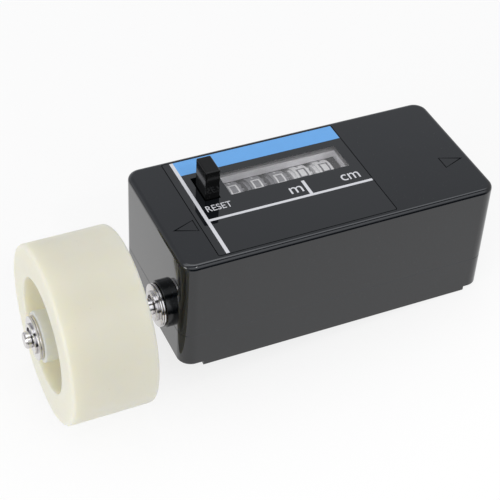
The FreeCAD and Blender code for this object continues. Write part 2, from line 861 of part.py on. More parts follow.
def carry_pinion(place):
    """The pinion between the wheel at place and the one to its left."""
    ring_left = figure_x(place + 1) + figure_band / 2
    teeth_right = ring_left + carry_thickness
    phase = meshed_phase(carry_ring_phase(), carry_ring_teeth, pinion_teeth, pinion_bearing)
    teeth = gear_disc(pinion_teeth, carry_module, carry_addendum, carry_backlash,
                      ring_left, teeth_right, pinion_y, pinion_z, phase)
    hub_left = ring_left - figure_pitch / 2 + pinion_side_gap
    hub_right = hub_left + figure_pitch - 2 * pinion_side_gap
    hub = rod(pinion_hub_radius, hub_left, hub_right, pinion_y, pinion_z)
    bore = rod(pinion_shaft_radius + running_clearance, hub_left - 1, hub_right + 1, pinion_y, pinion_z)
    return teeth.fuse(hub).cut(bore)


# Drive gears
def drive_phase():
    return bearing_between((shaft_y, shaft_z), idler_place())


def drive_pin_x():
    return gear_left - gear_wide_extra / 2 - gear_hub_length / 2


def drive_gear():
    """The gear that is pinned to the main shaft."""
    left = gear_left - gear_wide_extra / 2
    teeth = gear_disc(drive_teeth, gear_module, addendum, gear_backlash, left,
                      gear_right + gear_wide_extra / 2, shaft_y, shaft_z, drive_phase())
    hub = rod(gear_hub_radius, left - gear_hub_length, left, shaft_y, shaft_z)
    bore = rod(shaft_radius + seat_clearance, left - gear_hub_length - 1, gear_right + 2, shaft_y, shaft_z)
    return teeth.fuse(hub).cut([bore, cross_hole(drive_pin_x(), gear_hub_radius + 1)])


def drive_gear_pin():
    return cross_pin(drive_pin_x(), gear_hub_radius)


def idler_phase():
    return meshed_phase(drive_phase(), drive_teeth, idler_teeth, drive_phase())


def idler_gear():
    """The gear between the main shaft's gear and the units wheel's gear."""
    y, z = idler_place()
    teeth = gear_disc(idler_teeth, gear_module, addendum, gear_backlash, gear_left, gear_right,
                      y, z, idler_phase())
    hub_right = gear_right + idler_hub_length
    hub = rod(idler_pin_radius + idler_hub_wall, gear_right, hub_right, y, z)
    bore = rod(idler_pin_radius + running_clearance, gear_left - 1, hub_right + 1, y, z)
    return teeth.fuse(hub).cut(bore)


def idler_pin():
    """The headed pin that the idler turns on, riveted into the frame's right side."""
    y, z = idler_place()
    head_right = gear_left - idler_side_gap
    head = rod(idler_pin_radius + idler_head_rim, head_right - idler_head_thickness, head_right, y, z)
    frame_face = frame_right + frame_sheet
    shank = rod(idler_pin_radius, head_right, frame_face, y, z)
    rivet = rod(idler_pin_radius + idler_rivet_rim, frame_face, frame_face + idler_rivet_height, y, z)
    return head.fuse([shank, rivet]).removeSplitter()


def counter_gear_phase():
    bearing = bearing_between(idler_place(), (counter_y, counter_z))
    return meshed_phase(idler_phase(), idler_teeth, counter_teeth, bearing)


def counter_gear():
    """The gear that is pressed onto the end of the units wheel."""
    start = units_x + figure_band / 2
    teeth = gear_disc(counter_teeth, gear_module, addendum, gear_backlash, gear_left, gear_right,
                      counter_y, counter_z, counter_gear_phase())
    hub_right = gear_right + counter_gear_hub_end
    hub = rod(counter_shaft_radius + counter_gear_hub_wall, start, hub_right, counter_y, counter_z)
    bore = rod(counter_shaft_radius + running_clearance, start - 1, hub_right + 1, counter_y, counter_z)
    return teeth.fuse(hub).cut(bore)


def shaft_spacers():
    """The two sleeves that keep the wheels and the lever in their places along the counter shaft."""
    bore = counter_shaft_radius + seat_clearance
    outer = counter_shaft_radius + spacer_wall
    left = tube(outer, bore, lever_right + wheel_end_gap, last_wheel_left - wheel_end_gap,
                counter_y, counter_z)
    right = tube(outer, bore, gear_right + counter_gear_hub_end + wheel_end_gap,
                 frame_right - wheel_end_gap, counter_y, counter_z)
    return Part.makeCompound([left, right])


# Reset lever, comb and spring
def reset_lever():
    """The lever: a square grip above the label, a hub on the counter shaft and a tail behind."""
    top = case_height + lever_reach
    middle = lever_front + lever_depth / 2
    hub_top = counter_z + lever_hub_radius
    grip = block(lever_left, lever_right, lever_front, lever_front + lever_depth, hub_top, top)
    upper = [edge for edge in grip.Edges if edge.BoundBox.ZMax > hub_top + 1]
    grip = grip.makeFillet(lever_edge_round, upper)
    neck = block(lever_hub_left, lever_right, middle - lever_neck_depth / 2, middle + lever_neck_depth / 2,
                 counter_z, hub_top + join_overlap)
    hub = rod(lever_hub_radius, lever_hub_left, lever_right, counter_y, counter_z)
    tail = bar_across(lever_hub_left, lever_right, (counter_y, counter_z), tail_end(), lever_tail_radius)
    bore = rod(counter_shaft_radius + running_clearance, lever_left - 1, lever_right + 1,
               counter_y, counter_z)
    return grip.fuse([neck, hub, tail]).removeSplitter().cut(bore)


def tail_end():
    return (counter_y + lever_tail_y, counter_z + lever_tail_z)


def comb_arm_end():
    """The end of the comb's arm, just below the lever's tail."""
    spread = lever_tail_radius + comb_arm_radius + comb_arm_gap
    drop = math.sqrt(spread ** 2 - comb_arm_lean ** 2)
    return (tail_end()[0] - comb_arm_lean, tail_end()[1] - drop)


def comb_tip():
    bearing = math.radians(comb_tip_bearing)
    return (counter_y + comb_tip_radius_from_axis * math.cos(bearing),
            counter_z + comb_tip_radius_from_axis * math.sin(bearing))


def reset_comb():
    """A tube on the comb rod, with an arm under the lever's tail and a finger for each wheel."""
    right = figure_x(0)
    comb = rod(comb_tube_radius, lever_left, right, comb_y, comb_z)
    pieces = [bar_across(lever_hub_left, lever_right, (comb_y, comb_z), comb_arm_end(), comb_arm_radius)]
    for place in range(figure_count):
        cam_right = figure_x(place) - figure_band / 2 - carry_thickness
        middle = cam_right - (cam_thickness + wheel_end_gap) / 2
        half = comb_finger_thickness / 2
        pieces.append(bar_across(middle - half, middle + half, (comb_y, comb_z), comb_tip(),
                                 comb_finger_width / 2))
    bore = rod(comb_rod_radius + running_clearance, lever_left - 1, right + 1, comb_y, comb_z)
    return comb.fuse(pieces).cut(bore)


def reset_spring():
    """The coil round the counter shaft that swings the lever back, in quarter turns."""
    quarter = spring_pitch / 4
    arcs = []
    for step in range(int(round(spring_turns * 4))):
        points = []
        for part in (0, 0.5, 1):
            angle = (step + part) * math.pi / 2
            points.append(polar(spring_coil_radius, angle, counter_y, counter_z,
                                spring_left + (step + part) * quarter))
        arcs.append(Part.Arc(*points).toShape())
    path = Part.Wire(arcs)
    start = path.Edges[0]
    section = Part.Wire([Part.Circle(start.valueAt(start.FirstParameter),
                                     start.tangentAt(start.FirstParameter),
                                     spring_wire_radius).toShape()])
    return path.makePipeShell([section], True, False)


# The meter as it rests
def rest_tilt():
    """How far the case tips before its right edge and the wheel's inner rim stand on one plane."""
    rim = Vector(wheel_inner_x - wheel_rim_round, 0, shaft_z - wheel_radius + wheel_rim_round)
    edge = Vector(case_length - base_right_inset - base_edge_radius, 0, base_edge_radius)
    run = edge - rim
    slope = math.atan2(run.z, run.x)
    return math.degrees(slope - math.asin((base_edge_radius - wheel_rim_round) / run.Length))


def rest_placement(shapes):
    """Tips the meter and puts the middle of its footprint at the origin."""
    tip = Placement(Vector(0, 0, 0), Rotation(Vector(0, 1, 0), rest_tilt()))
    limits = Part.makeCompound([moved(shape, tip) for shape in shapes]).optimalBoundingBox(False, False)
    shift = Vector(-(limits.XMin + limits.XMax) / 2, -(limits.YMin + limits.YMax) / 2, -limits.ZMin)
    return Placement(shift, tip.Rotation)


def moved(shape, placement):
    copy = shape.copy()
    copy.transformShape(placement.toMatrix(), True)
    return copy


def all_parts():
    parts = {
        "case_top": case_top(),
        "case_bottom": case_bottom(),
        "base_plate": base_plate(),
        "case_screws": case_screws(),
        "label_plate": label_plate(),
        "window_bezel": window_bezel(),
        "measuring_wheel": measuring_wheel(),
        "wheel_sleeve": wheel_sleeve(),
        "wheel_pin": wheel_pin(),
        "wheel_washers": wheel_washers(),
        "main_shaft": main_shaft(),
        "shaft_rings": shaft_rings(),
        "bush_washers": bush_washers(),
        "shaft_bush": shaft_bush(),
        "inner_bearing": inner_bearing(),
        "counter_frame": counter_frame(),
        "frame_screws": frame_screws(),
        "counter_shaft": counter_shaft(),
        "counter_shaft_clips": clip_pair(counter_shaft_radius, counter_y, counter_z),
        "pinion_shaft": pinion_shaft(),
        "pinion_shaft_clips": clip_pair(pinion_shaft_radius, pinion_y, pinion_z),
        "comb_rod": comb_rod(),
        "comb_rod_clips": clip_pair(comb_rod_radius, comb_y, comb_z),
        "shaft_spacers": shaft_spacers(),
        "drive_gear": drive_gear(),
        "drive_gear_pin": drive_gear_pin(),
        "idler_gear": idler_gear(),
        "idler_pin": idler_pin(),
        "counter_gear": counter_gear(),
        "reset_lever": reset_lever(),
        "reset_comb": reset_comb(),
        "reset_spring": reset_spring(),
    }
    for place, name in enumerate(figure_wheel_names()):
        parts[name] = figure_wheel(place)
    for place, name in enumerate(pinion_names()):
        parts[name] = carry_pinion(place)
    return parts


def figure_wheel_names():
    return ["figure_wheel_1cm", "figure_wheel_10cm", "figure_wheel_1m", "figure_wheel_10m",
            "figure_wheel_100m"]


def pinion_names():
    return ["carry_pinion_10cm", "carry_pinion_1m", "carry_pinion_10m", "carry_pinion_100m"]


os.makedirs("parts", exist_ok=True)
solids = all_parts()
placement = rest_placement(list(solids.values()))
for node, shape in solids.items():
    moved(shape, placement).exportStep("parts/" + node + ".step")
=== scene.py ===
"""The finish of a fabric measuring meter: gloss black case, printed label, figure wheels, soft wheel."""
import json
import math

import bmesh
import bpy
from mathutils import Euler, Matrix, Vector


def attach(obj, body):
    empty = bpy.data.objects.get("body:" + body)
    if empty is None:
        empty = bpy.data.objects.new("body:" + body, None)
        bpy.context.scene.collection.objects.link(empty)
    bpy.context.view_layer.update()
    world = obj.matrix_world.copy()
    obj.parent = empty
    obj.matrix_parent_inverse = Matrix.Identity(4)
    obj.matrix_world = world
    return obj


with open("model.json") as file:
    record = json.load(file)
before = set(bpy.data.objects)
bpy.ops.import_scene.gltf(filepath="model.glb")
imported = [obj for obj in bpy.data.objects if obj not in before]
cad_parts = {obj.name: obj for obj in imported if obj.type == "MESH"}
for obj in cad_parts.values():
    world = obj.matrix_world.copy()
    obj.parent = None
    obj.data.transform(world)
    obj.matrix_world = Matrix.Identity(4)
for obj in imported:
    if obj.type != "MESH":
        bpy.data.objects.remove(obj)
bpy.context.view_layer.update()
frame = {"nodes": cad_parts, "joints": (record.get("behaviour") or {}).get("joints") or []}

nodes = frame["nodes"]


# The meter rests on its base's right edge and the wheel's rim, so the case leans a little. What lies on
# the case is drawn level, in millimetres from the case's lower left front corner, and then leans with it.
MILLIMETRE = 0.001
SHAFT_Y = 15.45
SHAFT_Z = 19.75
CASE_TOP_Z = 47.6


def joint_named(name):
    return next(joint for joint in frame["joints"] if joint["name"] == name)


shaft_axis = Vector(joint_named("wheel_spin")["axis"])
shaft_point = Vector(joint_named("wheel_spin")["pos_m"])
lean_angle = math.atan2(-shaft_axis.z, shaft_axis.x)
lean = Matrix.Rotation(lean_angle, 4, "Y") @ Matrix.Scale(MILLIMETRE, 4)
case_corner = shaft_point - lean @ Vector((0, SHAFT_Y, SHAFT_Z))
on_case = Matrix.Translation(case_corner) @ lean


# Shader maths as plain expressions: a Signal is one socket that carries a number, a colour or a vector.
class Signal:
    def __init__(self, finish, socket):
        self.finish = finish
        self.socket = socket

    def math(self, operation, *values):
        return self.finish.node("ShaderNodeMath", {"operation": operation}, dict(enumerate(values)))

    def __add__(self, other):
        return self.math("ADD", self, other)

    def __radd__(self, other):
        return self.math("ADD", other, self)

    def __sub__(self, other):
        return self.math("SUBTRACT", self, other)

    def __rsub__(self, other):
        return self.math("SUBTRACT", other, self)

    def __mul__(self, other):
        return self.math("MULTIPLY", self, other)

    def __rmul__(self, other):
        return self.math("MULTIPLY", other, self)

    def __gt__(self, other):
        return self.math("GREATER_THAN", self, other)

    def __lt__(self, other):
        return self.math("LESS_THAN", self, other)

    def __or__(self, other):
        return self.math("MAXIMUM", self, other)

    def __abs__(self):
        return self.math("ABSOLUTE", self)


class Finish:
    """One material, built up round its surface shader. Noise scales are waves in a millimetre."""

    def __init__(self, name, **constants):
        self.material = bpy.data.materials.new(name)
        self.material.use_nodes = True
        self.tree = self.material.node_tree
        self.shader = self.tree.nodes["Principled BSDF"]
        for key, value in constants.items():
            self.shader.inputs[key.replace("_", " ")].default_value = value

    def node(self, kind, settings, inputs, output=0):
        """Adds any node: its settings first, then the value or link of each socket."""
        made = self.tree.nodes.new(kind)
        for key, value in settings.items():
            setattr(made, key, value)
        for key, value in inputs.items():
            if isinstance(value, Signal):
                self.tree.links.new(value.socket, made.inputs[key])
            else:
                made.inputs[key].default_value = value
        return Signal(self, made.outputs[output])

    def place(self, scale=(1, 1, 1), turn=(0, 0, 0)):
        """Where a point is on the piece, in millimetres times the scale."""
        point = self.node("ShaderNodeTexCoord", {}, {}, "Object")
        return self.node("ShaderNodeMapping", {}, {
            "Vector": point, "Rotation": turn, "Scale": [size / MILLIMETRE for size in scale]})

    def noise(self, scale, detail, stretch=(1, 1, 1), turn=(0, 0, 0)):
        return self.node("ShaderNodeTexNoise", {}, {
            "Vector": self.place(stretch, turn), "Scale": scale, "Detail": detail})

    def ramp(self, value, low, high):
        """Nought below low and one above high."""
        return self.node("ShaderNodeMapRange", {"interpolation_type": "SMOOTHSTEP"}, {
            "Value": value, "From Min": low, "From Max": high})

    def blend(self, share, first, second):
        return self.node("ShaderNodeMix", {"data_type": "RGBA"}, {
            "Factor": share, 6: first, 7: second}, 2)

    def bump(self, height, distance, strength):
        return self.node("ShaderNodeBump", {}, {
            "Height": height, "Distance": distance, "Strength": strength})

    def ray(self, kind):
        """One for rays of this kind, and nought for the others."""
        return self.node("ShaderNodeLightPath", {}, {}, "Is " + kind + " Ray")

    def give(self, **links):
        for key, value in links.items():
            self.tree.links.new(value.socket, self.shader.inputs[key.replace("_", " ")])
        return self

    def onto(self, *pieces):
        for piece in pieces:
            piece.data.materials.clear()
            piece.data.materials.append(self.material)


def colour(red, green, blue):
    return (red, green, blue, 1)


def dimmed(shade, share):
    """A colour times a share, for darker patches and for plain light."""
    return colour(*[value * share for value in shade])


# Case shells: glossy black polystyrene from polished moulds, in two halves that meet at a fine line and
# are screwed together from below. The gloss waves slightly, and carries hairline rubbing and some dust.
DUST_GREY = colour(0.22, 0.22, 0.21)
DUST_SHARE = 0.25
CLOUD_GAIN = 1.35
CLOUD_LIFT = 0.001


def gloss_black(name, shade, dull):
    finish = Finish(name, IOR=1.59)
    cloud = finish.noise(scale=0.05, detail=2)
    rubs_along = finish.noise(scale=0.9, detail=2, stretch=(0.05, 1, 1), turn=(0, 0, 0.4))
    rubs_across = finish.noise(scale=1.1, detail=2, stretch=(1, 0.06, 1), turn=(0.2, 0, 0.9))
    rubbed = (finish.ramp(rubs_along, 0.70, 0.76) + finish.ramp(rubs_across, 0.71, 0.77)) * 0.5
    dust = finish.ramp(finish.noise(scale=2.6, detail=1), 0.74, 0.80)
    clouded = colour(*[value * CLOUD_GAIN + CLOUD_LIFT for value in shade])
    base = finish.blend(cloud, colour(*shade), clouded)
    base = finish.blend(dust * DUST_SHARE, base, DUST_GREY)
    roughness = dull + cloud * 0.05 + rubbed * 0.06 + dust * DUST_SHARE
    waves = finish.noise(scale=0.11, detail=1)
    grain = finish.noise(scale=7.0, detail=2)
    normal = finish.bump(waves + grain * 0.003, distance=0.00005, strength=0.3)
    return finish.give(Base_Color=base, Roughness=roughness, Normal=normal)


case_black = gloss_black("case gloss black", (0.003, 0.004, 0.006), dull=0.02)
case_black.onto(nodes["case_top"], nodes["case_bottom"])


# Base plate: a flat plate of the same black plastic, moulded, and fixed under the lower shell. It is less
# polished than the shells.
gloss_black("base plate black", (0.004, 0.005, 0.006), dull=0.14).onto(nodes["base_plate"])


# Reset lever: moulded in the deepest black, with a soft sheen from fingers. It stands up through the
# label plate's slot and turns about the counter's shaft.
lever_black = gloss_black("lever gloss black", (0.001, 0.001, 0.001), dull=0.08)
lever_black.shader.inputs["Specular IOR Level"].default_value = 0.22
lever_black.onto(nodes["reset_lever"])


# Label plate: a clear acrylic plate, printed black on its face round one clear rectangle, so that it
# looks like black glass. Its back carries a grey border round the counter's opening. The clear
# rectangle carries a faint pale grey veil, which is haze and a painted reflection of the white room.
WINDOW_X = (30.3, 76.7)
WINDOW_Y = (30.6, 42.9)
BORDER = 2.4
LABEL_THICKNESS = 2.0
PLATE_MIDDLE_Z = CASE_TOP_Z - LABEL_THICKNESS / 2
PLATE_BLACK = colour(0.003, 0.004, 0.006)
BORDER_GREY = colour(0.90, 0.89, 0.92)
# Grey of the window's veil: haze and a painted reflection of the white room, laid over what lies beneath.
HAZE_AND_PAINTED_REFLECTION_GREY = colour(0.66, 0.66, 0.68)
CLEAR_SHARE = 0.90


def level_place(finish):
    """Where a point of the piece is in the case's own directions, as three signals in millimetres."""
    point = finish.node("ShaderNodeTexCoord", {}, {}, "Object")
    places = []
    for row in on_case.inverted()[:3]:
        along = finish.node("ShaderNodeVectorMath", {"operation": "DOT_PRODUCT"}, {
            0: point, 1: tuple(row[:3])}, "Value")
        places.append(along + row[3])
    return places


def inside(x, y, spare):
    """One within the window's rectangle and so much round it, and nought outside."""
    across = (x > WINDOW_X[0] - spare) * (x < WINDOW_X[1] + spare)
    return across * (y > WINDOW_Y[0] - spare) * (y < WINDOW_Y[1] + spare)


def black_glass(name):
    finish = Finish(name, IOR=1.67)
    x, y, z = level_place(finish)
    clear = inside(x, y, 0)
    border = inside(x, y, BORDER) * (z < PLATE_MIDDLE_Z)
    fingers = finish.noise(scale=0.12, detail=3, stretch=(1, 0.4, 1), turn=(0, 0, 0.5))
    smear = finish.ramp(fingers, 0.45, 0.8)
    scratches = finish.noise(scale=1.2, detail=2, stretch=(0.05, 1, 1), turn=(0, 0, 0.7))
    hair = finish.ramp(scratches, 0.72, 0.78)
    base = finish.blend(border, PLATE_BLACK, BORDER_GREY)
    # In the clear window a faint pale grey veil is painted: haze and a painted reflection over all seen
    # through it.
    base = finish.blend(clear, base, HAZE_AND_PAINTED_REFLECTION_GREY)
    roughness = 0.03 + smear * 0.05 + hair * 0.05
    alpha = 1.0 - clear * (CLEAR_SHARE - smear * 0.03)
    normal = finish.bump(finish.noise(scale=0.08, detail=1), distance=0.00004, strength=0.25)
    return finish.give(Base_Color=base, Roughness=roughness, Alpha=alpha, Normal=normal)


black_glass("label plate").onto(nodes["label_plate"])


# Print on the label: a white line down the left, a long white line under the counter with a short bar
# that parts metres from centimetres, a blue band behind, and three words. Screen ink, a hair thick.
INK = 0.04
LABEL_FRONT = 2.8
LABEL_BACK = 54.3
LABEL_RIGHT = 80.8
LEFT_LINE = (16.4, 17.7)
LONG_LINE = (19.9, 21.0)
SHORT_BAR = (56.4, 57.6)
SHORT_BAR_BACK = 28.7
BLUE_FRONT = 46.5
WELD = 1e-5


def ink_slab(mesh, x_span, y_span):
    """A thin bar of ink on the plate, between two places each way."""
    middle = Matrix.Translation((sum(x_span) / 2, sum(y_span) / 2, CASE_TOP_Z + INK / 2))
    size = Matrix.Diagonal((x_span[1] - x_span[0], y_span[1] - y_span[0], INK, 1))
    bmesh.ops.create_cube(mesh, size=1, matrix=middle @ size)


def piece_from(mesh, name, body, finish, matrix=on_case):
    """Makes one finished piece of a mesh that is drawn level, and lets it ride on a body."""
    bmesh.ops.remove_doubles(mesh, verts=mesh.verts, dist=WELD)
    bmesh.ops.recalc_face_normals(mesh, faces=mesh.faces)
    mesh.transform(matrix)
    data = bpy.data.meshes.new(name)
    mesh.to_mesh(data)
    mesh.free()
    piece = bpy.data.objects.new(name, data)
    bpy.context.scene.collection.objects.link(piece)
    finish.onto(piece)
    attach(piece, body)


def ink(name, shade, worn):
    """Ink under a gloss surface, a little uneven in its cover."""
    finish = Finish(name, IOR=1.49)
    patch = finish.noise(scale=0.35, detail=4)
    grain = finish.noise(scale=5.0, detail=2)
    base = finish.blend(patch * worn, colour(*shade), dimmed(shade, 0.82))
    normal = finish.bump(grain, distance=0.000005, strength=0.3)
    return finish.give(Base_Color=base, Roughness=0.10 + grain * 0.10, Normal=normal)


white_ink = ink("white ink", (0.80, 0.81, 0.86), worn=0.4)
blue_ink = ink("blue ink", (0.165, 0.47, 0.97), worn=0.4)

lines = bmesh.new()
ink_slab(lines, LEFT_LINE, (LABEL_FRONT, LABEL_BACK))
ink_slab(lines, (LEFT_LINE[1], LABEL_RIGHT), LONG_LINE)
ink_slab(lines, SHORT_BAR, (LONG_LINE[1], SHORT_BAR_BACK))
piece_from(lines, "label_lines", "case", white_ink)

band = bmesh.new()
ink_slab(band, (LEFT_LINE[1], LABEL_RIGHT), (BLUE_FRONT, LABEL_BACK))
piece_from(band, "label_band", "case", blue_ink)


def printed_word(word, name, left, front, width, height):
    """A word as a thin mesh of ink, stretched to its printed size."""
    letters = bpy.data.curves.new(name, "FONT")
    letters.body = word
    letters.extrude = 0.01
    shape = bpy.data.objects.new(name, letters)
    bpy.context.scene.collection.objects.link(shape)
    bpy.context.view_layer.update()
    data = bpy.data.meshes.new_from_object(shape.evaluated_get(bpy.context.evaluated_depsgraph_get()))
    bpy.data.objects.remove(shape)
    mesh = bmesh.new()
    mesh.from_mesh(data)
    low = Vector([min(vertex.co[axis] for vertex in mesh.verts) for axis in range(3)])
    high = Vector([max(vertex.co[axis] for vertex in mesh.verts) for axis in range(3)])
    size = high - low
    fit = Matrix.Diagonal((width / size.x, height / size.y, INK / size.z, 1))
    mesh.transform(Matrix.Translation((left, front, CASE_TOP_Z)) @ fit @ Matrix.Translation(-low))
    piece_from(mesh, name, "case", white_ink)


printed_word("RESET", "label_word_reset", left=19.0, front=24.7, width=9.5, height=3.1)
printed_word("m", "label_word_m", left=50.4, front=23.2, width=4.9, height=3.3)
printed_word("cm", "label_word_cm", left=70.6, front=23.2, width=7.2, height=3.4)


# Window bezel: a pale grey moulded frame with a satin surface. It lines the counter's opening below the
# label plate.
def satin_plastic(name, shade, roughness, variation=0.5):
    finish = Finish(name, IOR=1.46)
    patch = finish.noise(scale=0.3, detail=3)
    grain = finish.noise(scale=6.0, detail=3)
    base = finish.blend(patch * variation, colour(*shade), dimmed(shade, 0.8))
    normal = finish.bump(grain, distance=0.00002, strength=0.3)
    return finish.give(Base_Color=base, Roughness=roughness + grain * 0.12, Normal=normal)


satin_plastic("bezel grey", (0.91, 0.90, 0.93), 0.4, 0.1).onto(nodes["window_bezel"])


# Figure wheels: moulded in black for metres and in white for centimetres. Each has ten figures printed
# round its band, in square strokes that stand a hair above the surface.
FIGURE_RADIUS = 11.0
FIGURE_WIDTH = 3.5
FIGURE_HEIGHT = 5.2
FIGURE_INK = 0.05
FIGURE_CUTS = 3
DEGREES_BETWEEN_FIGURES = 36
STROKE = 0.62
STROKES_ACROSS = 3
CELLS_ACROSS = 5
GLYPHS = {
    0: ("11111", "10001", "10001", "10001", "11111"),
    1: ("00100", "00100", "00100", "00100", "00100"),
    2: ("11111", "00001", "11111", "10000", "11111"),
    3: ("11111", "00001", "11111", "00001", "11111"),
    4: ("10001", "10001", "11111", "00001", "00001"),
    5: ("11111", "10000", "11111", "00001", "11111"),
    6: ("11111", "10000", "11111", "10001", "11111"),
    7: ("11111", "00001", "00001", "00001", "00001"),
    8: ("11111", "10001", "11111", "10001", "11111"),
    9: ("11111", "10001", "11111", "00001", "11111"),
}


def cell_spans(length):
    """Strokes with gaps between them by turns, as the start and end of each cell."""
    gap = (length - STROKES_ACROSS * STROKE) / (STROKES_ACROSS - 1)
    spans = []
    start = -length / 2
    for cell in range(CELLS_ACROSS):
        size = gap if cell % 2 else STROKE
        spans.append((start, start + size))
        start += size
    return spans


def add_figure(mesh, digit):
    """One figure, drawn flat in thin bars and then wrapped round the band at its own tenth of a turn."""
    flat = bmesh.new()
    columns = cell_spans(FIGURE_WIDTH)
    rows = reversed(cell_spans(FIGURE_HEIGHT))
    for cells, (low, high) in zip(GLYPHS[digit], rows):
        for cell, (left, right) in zip(cells, columns):
            if cell == "1":
                middle = Matrix.Translation(((left + right) / 2, (low + high) / 2, FIGURE_INK / 2))
                size = Matrix.Diagonal((right - left, high - low, FIGURE_INK, 1))
                bmesh.ops.create_cube(flat, size=1, matrix=middle @ size)
    upright = [edge for edge in flat.edges if abs(edge.verts[0].co.y - edge.verts[1].co.y) > STROKE]
    bmesh.ops.subdivide_edges(flat, edges=upright, cuts=FIGURE_CUTS, use_grid_fill=True)
    for vertex in flat.verts:
        angle = math.radians(DEGREES_BETWEEN_FIGURES * digit) + vertex.co.y / FIGURE_RADIUS
        reach = FIGURE_RADIUS + vertex.co.z
        vertex.co = Vector((vertex.co.x, reach * math.sin(angle), reach * math.cos(angle)))
    wrapped = bpy.data.meshes.new("figure")
    flat.to_mesh(wrapped)
    flat.free()
    mesh.from_mesh(wrapped)
    bpy.data.meshes.remove(wrapped)


def figures(name, body, finish):
    """The ten figures of one wheel, as one piece on the wheel's own body."""
    axis_point = Vector(joint_named(body + "_spin")["pos_m"])
    mesh = bmesh.new()
    for digit in GLYPHS:
        add_figure(mesh, digit)
    piece_from(mesh, name, body, finish, Matrix.Translation(axis_point) @ lean)


dark_wheel = satin_plastic("dark figure wheel", (0.26, 0.26, 0.28), 0.35)
white_wheel = satin_plastic("white figure wheel", (0.90, 0.90, 0.91), 0.28, 0.2)
white_figure = ink("white figures", (0.93, 0.93, 0.94), worn=0.2)
dark_figure = ink("dark figures", (0.16, 0.16, 0.18), worn=0.3)

for place in ("1m", "10m", "100m"):
    dark_wheel.onto(nodes["figure_wheel_" + place])
    figures("figures_" + place, "counter_" + place, white_figure)
for place in ("1cm", "10cm"):
    white_wheel.onto(nodes["figure_wheel_" + place])
    figures("figures_" + place, "counter_" + place, dark_figure)


# Measuring wheel: cast in soft urethane round a steel sleeve, cream and slightly clear, so that light
# soaks into it. The tread is ground, and a few specks were cast in.
wheel = Finish("cast urethane", IOR=1.5, Subsurface_Weight=1.0, Subsurface_Scale=0.008)
wheel.shader.inputs["Subsurface Radius"].default_value = (1.0, 0.9, 0.6)
cloud = wheel.noise(scale=0.05, detail=3)
speck = wheel.ramp(wheel.noise(scale=1.3, detail=1), 0.77, 0.80)
ground = wheel.noise(scale=3.0, detail=3, stretch=(1, 0.25, 0.25))
cream = wheel.blend(cloud, colour(0.795, 0.78, 0.68), colour(0.76, 0.74, 0.62))
wheel.give(
    Base_Color=wheel.blend(speck * 0.35, cream, colour(0.45, 0.42, 0.33)),
    Roughness=0.34 + ground * 0.18,
    Normal=wheel.bump(ground + cloud * 2.0, distance=0.00003, strength=0.35))
wheel.onto(nodes["measuring_wheel"])


# Shaft, washers and snap rings: bright steel, turned and polished, with fine rings left by the lathe.
# The rings snap into grooves in the shaft and keep the washers against the wheel and the bush.
def turned_metal(name, shade, roughness):
    finish = Finish(name, Metallic=1.0)
    rings = finish.noise(scale=9.0, detail=2, stretch=(1, 0.06, 0.06))
    smear = finish.noise(scale=0.5, detail=3)
    base = finish.blend(smear * 0.6, colour(*shade), dimmed(shade, 0.84))
    normal = finish.bump(rings, distance=0.000006, strength=0.3)
    return finish.give(Base_Color=base, Roughness=roughness + rings * 0.10 + smear * 0.06, Normal=normal)


turned_metal("bright steel", (0.66, 0.64, 0.64), 0.06).onto(
    nodes["wheel_washers"], nodes["bush_washers"], nodes["shaft_rings"], nodes["main_shaft"])


# Screws, pins, inner shafts and sleeves: plain ground steel, cut from bar. They are hidden inside the
# wheel and the case, and are left duller than the shaft.
ground_steel = turned_metal("ground steel", (0.60, 0.60, 0.61), 0.22)
ground_steel.onto(
    nodes["wheel_sleeve"], nodes["wheel_pin"], nodes["case_screws"], nodes["frame_screws"],
    nodes["counter_shaft"], nodes["pinion_shaft"], nodes["comb_rod"], nodes["shaft_spacers"],
    nodes["drive_gear_pin"], nodes["idler_pin"])


# Clips and reset spring: dark hardened spring steel. The clips sit in grooves at the small shafts' ends,
# and the spring is coiled from wire.
spring_steel = turned_metal("spring steel", (0.42, 0.42, 0.44), 0.25)
spring_steel.onto(
    nodes["counter_shaft_clips"], nodes["pinion_shaft_clips"], nodes["comb_rod_clips"],
    nodes["reset_spring"])


# Drive gear and inner bearing: the gear is cut from brass and pinned to the shaft, and the bearing is
# turned from bronze and held in the counter frame's side.
turned_metal("brass", (0.74, 0.56, 0.24), 0.2).onto(nodes["drive_gear"])
turned_metal("bronze", (0.56, 0.38, 0.22), 0.3).onto(nodes["inner_bearing"])


# Shaft bush: turned from black acetal, with a satin face. It sits in the case's end wall, where the
# shaft leaves the case.
satin_plastic("black acetal", (0.002, 0.003, 0.004), 0.10).onto(nodes["shaft_bush"])


# Counter frame and reset comb: zinc-plated sheet steel, cut and bent, with the plating's soft, mottled
# grey. Screws hold the frame to the lower shell.
def plated_sheet(name):
    finish = Finish(name, Metallic=1.0)
    mottle = finish.node("ShaderNodeTexVoronoi", {}, {"Vector": finish.place(), "Scale": 0.6}, "Distance")
    base = finish.blend(mottle, colour(0.64, 0.64, 0.61), colour(0.50, 0.50, 0.49))
    return finish.give(Base_Color=base, Roughness=0.3 + mottle * 0.12)


plated_sheet("zinc plate").onto(nodes["counter_frame"], nodes["reset_comb"])


# Idler gear, counter gear and carry pinions: moulded in white acetal, with a faint waxy sheen. They turn
# on pins and shafts inside the case.
white_acetal = satin_plastic("white acetal", (0.78, 0.77, 0.73), 0.33, 0.3)
white_acetal.onto(nodes["idler_gear"], nodes["counter_gear"])
for place in ("10cm", "1m", "10m", "100m"):
    white_acetal.onto(nodes["carry_pinion_" + place])


# Floor: a round white sheet that keeps the meter's soft shadow. Its rim glows as white as the room
# beyond it, so that no edge shows.
SHEET_RADIUS = 0.30
SHEET_MIDDLE = (0.0, 0.195, 0.0)
SHADOW_SHARE = 0.22
FADE_START = SHEET_RADIUS * 0.62
FADE_END = SHEET_RADIUS * 0.98
WHITE = colour(1, 1, 1)

